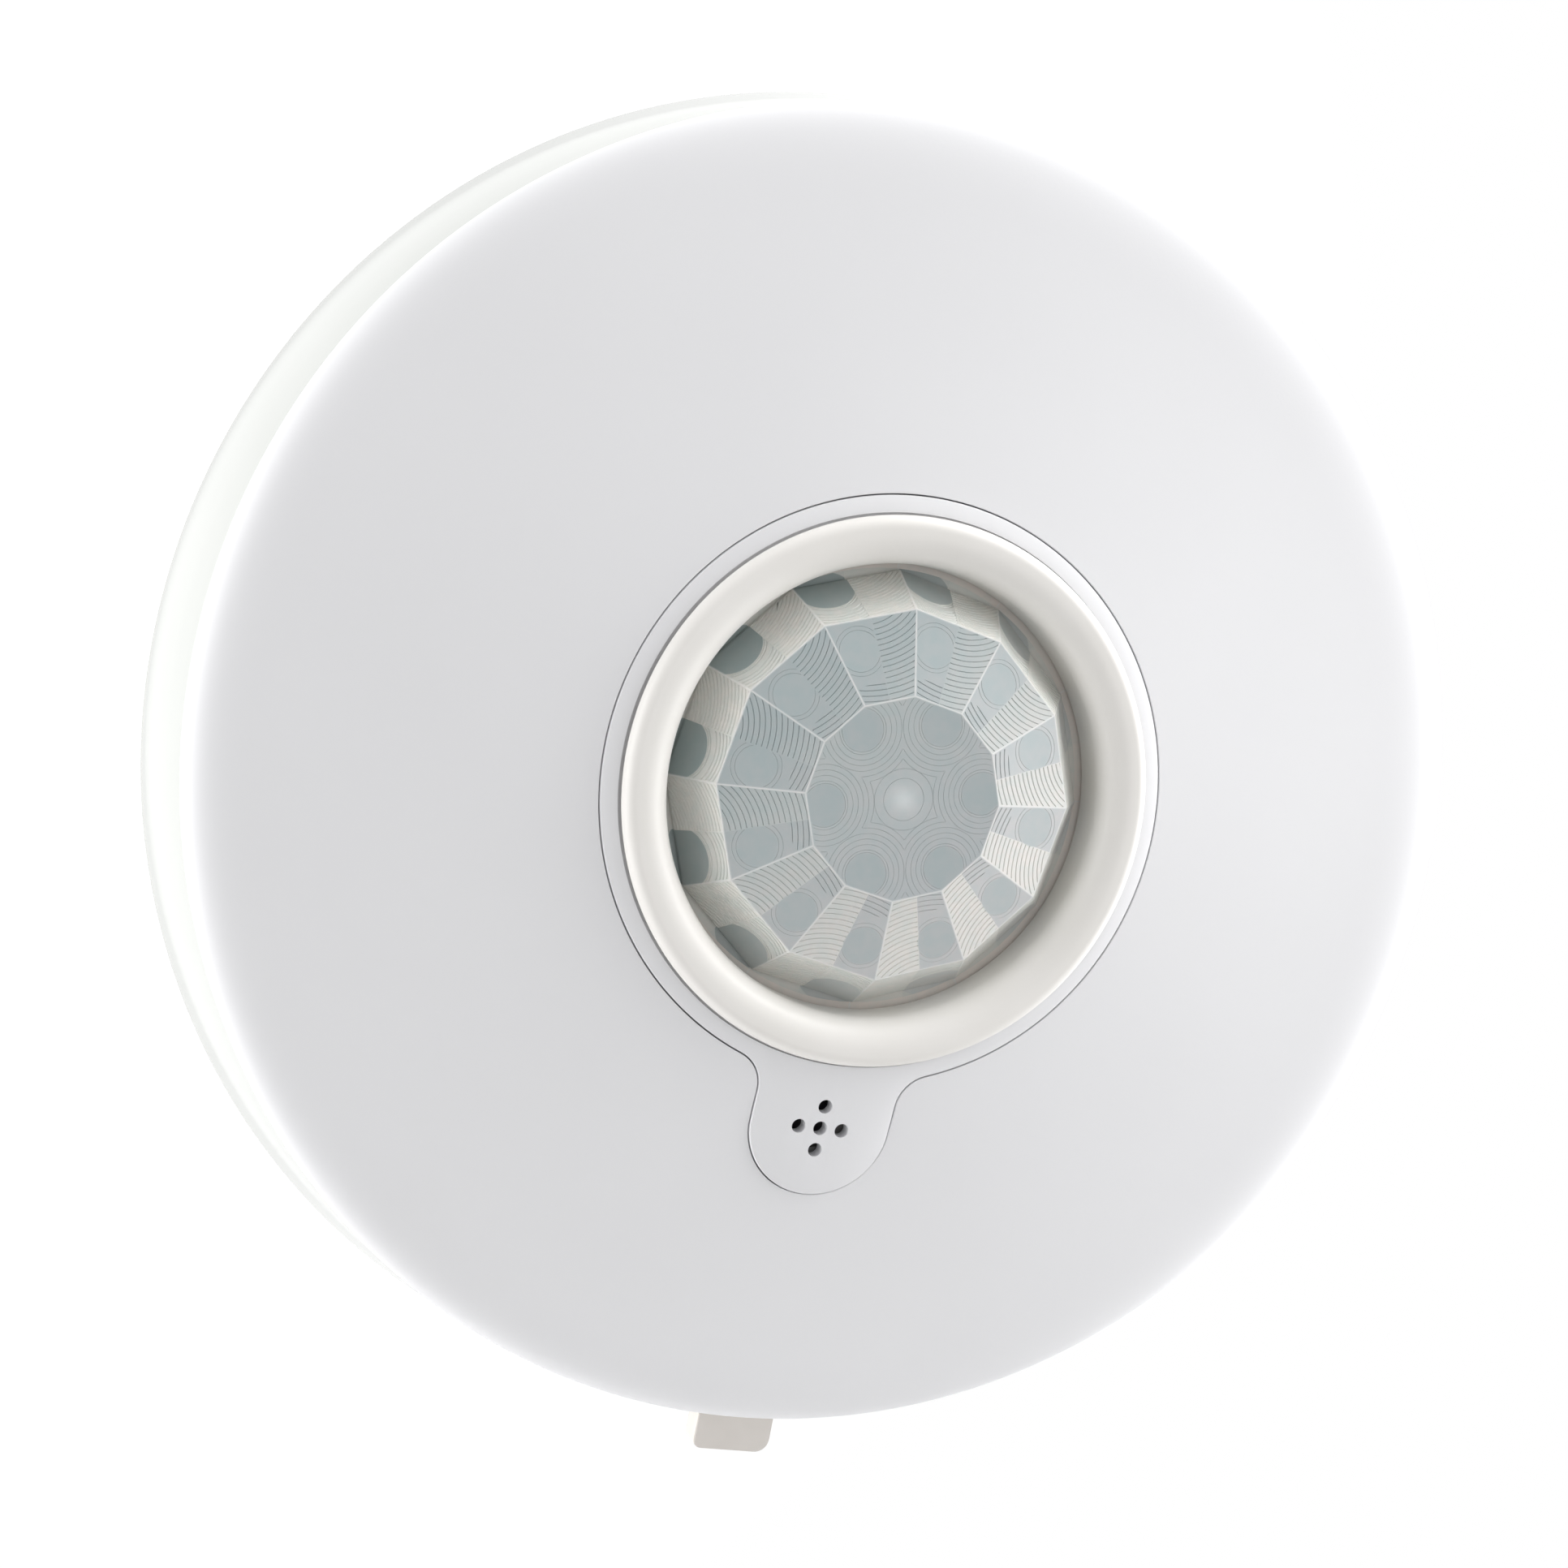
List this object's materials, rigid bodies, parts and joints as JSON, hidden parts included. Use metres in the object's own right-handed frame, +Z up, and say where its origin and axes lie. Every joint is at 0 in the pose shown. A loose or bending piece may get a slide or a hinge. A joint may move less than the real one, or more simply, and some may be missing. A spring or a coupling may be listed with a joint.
{
  "type": "motion sensor",
  "caption": "Round wall or ceiling motion detector: domed cover, faceted lens in a bezel ring, keyhole plate with sound holes, and a release tab at the edge.",
  "frame": {"origin": "centre of the flat back face that lies on the wall or ceiling", "axes": "-Y out of the wall through the lens, +Z up, +X to the right seen from the front"},
  "size_m": [0.125, 0.0262, 0.1276],
  "materials": {
    "gloss_white": "smooth gloss moulded white, faint warm-green tint",
    "matte_white": "very finely textured matte white moulding",
    "satin_ivory": "satin ivory-white moulding",
    "milky_lens": "thin translucent polyethylene, bluish grey, moulded lens grooves",
    "inner_white": "plain off-white moulding",
    "tab_ivory": "matte ivory-grey moulding",
    "green_board": "green solder mask on glass-fibre laminate",
    "black_plastic": "black moulded case",
    "blue_plastic": "blue moulded case",
    "green_plastic": "green moulded case",
    "red_clear": "red moulding",
    "steel": "zinc-plated or tinned steel",
    "spring_steel": "bright spring wire",
    "dark_glass": "dark infrared filter",
    "black_rubber": "soft black rubber",
    "grey_rubber": "soft grey rubber"
  },
  "bodies": {
    "base": {"base_housing": "gloss_white", "cable_grommet": "black_rubber", "circuit_board": "green_board", "board_screw_1": "steel", "board_screw_2": "steel", "board_screw_3": "steel", "sensor_holder": "inner_white", "pyro_sensor": "steel", "sensor_window": "dark_glass", "microphone_boot": "grey_rubber", "microphone_capsule": "black_plastic", "walk_test_led": "red_clear", "microcontroller": "black_plastic", "amplifier_chip": "black_plastic", "clock_crystal": "steel", "capacitor_1": "black_plastic", "capacitor_2": "black_plastic", "alarm_relay": "blue_plastic", "terminal_block": "green_plastic", "jumper_header": "black_plastic", "range_trimmer": "blue_plastic", "tamper_body": "black_plastic", "tamper_spring": "spring_steel", "latch_spring": "spring_steel"},
    "cover": {"front_cover": "matte_white", "trim_plate": "matte_white", "bezel_ring": "satin_ivory", "fresnel_lens": "milky_lens", "lens_retainer": "inner_white", "retainer_screw_1": "steel", "retainer_screw_2": "steel", "retainer_screw_3": "steel"},
    "release_tab": {"release_tab": "tab_ivory"},
    "tamper_plunger": {"tamper_plunger": "inner_white"},
    "trimmer_rotor": {"trimmer_rotor": "inner_white"},
    "jumper_cap_1": {"jumper_cap_1": "red_clear"},
    "jumper_cap_2": {"jumper_cap_2": "red_clear"},
    "terminal_screw_1": {"terminal_screw_1": "steel"},
    "terminal_screw_2": {"terminal_screw_2": "steel"},
    "terminal_screw_3": {"terminal_screw_3": "steel"},
    "terminal_screw_4": {"terminal_screw_4": "steel"},
    "terminal_screw_5": {"terminal_screw_5": "steel"},
    "terminal_screw_6": {"terminal_screw_6": "steel"}
  },
  "joints": [
    {"name": "cover_swing", "type": "hinge", "parent": "base", "child": "cover", "pos_m": [0, -0.0128, 0.0603], "axis": [-1, 0, 0], "range_deg": [0, 75]},
    {"name": "release_press", "type": "slide", "parent": "base", "child": "release_tab", "axis": [0, 0, 1], "range_m": [0, 0.002], "stiffness_N_per_m": 400, "deforming": ["latch_spring"]},
    {"name": "tamper_travel", "type": "slide", "parent": "base", "child": "tamper_plunger", "axis": [0, -1, 0], "range_m": [0, 0.002]},
    {"name": "range_turn", "type": "hinge", "parent": "base", "child": "trimmer_rotor", "pos_m": [-0.027, -0.011, -0.008], "axis": [0, -1, 0], "range_deg": [-135, 135]},
    {"name": "jumper_1_pull", "type": "slide", "parent": "base", "child": "jumper_cap_1", "axis": [0, -1, 0], "range_m": [0, 0.0045]},
    {"name": "jumper_2_pull", "type": "slide", "parent": "base", "child": "jumper_cap_2", "axis": [0, -1, 0], "range_m": [0, 0.0045]},
    {"name": "terminal_1_turn", "type": "hinge", "parent": "base", "child": "terminal_screw_1", "pos_m": [-0.0125, -0.0155, 0.0325], "axis": [0, -1, 0], "continuous": true},
    {"name": "terminal_2_turn", "type": "hinge", "parent": "base", "child": "terminal_screw_2", "pos_m": [-0.0075, -0.0155, 0.0325], "axis": [0, -1, 0], "continuous": true},
    {"name": "terminal_3_turn", "type": "hinge", "parent": "base", "child": "terminal_screw_3", "pos_m": [-0.0025, -0.0155, 0.0325], "axis": [0, -1, 0], "continuous": true},
    {"name": "terminal_4_turn", "type": "hinge", "parent": "base", "child": "terminal_screw_4", "pos_m": [0.0025, -0.0155, 0.0325], "axis": [0, -1, 0], "continuous": true},
    {"name": "terminal_5_turn", "type": "hinge", "parent": "base", "child": "terminal_screw_5", "pos_m": [0.0075, -0.0155, 0.0325], "axis": [0, -1, 0], "continuous": true},
    {"name": "terminal_6_turn", "type": "hinge", "parent": "base", "child": "terminal_screw_6", "pos_m": [0.0125, -0.0155, 0.0325], "axis": [0, -1, 0], "continuous": true}
  ],
  "couplings": [
    {"joint": "tamper_travel", "follows": "cover_swing", "m_per_rad": 0.001451}
  ]
}
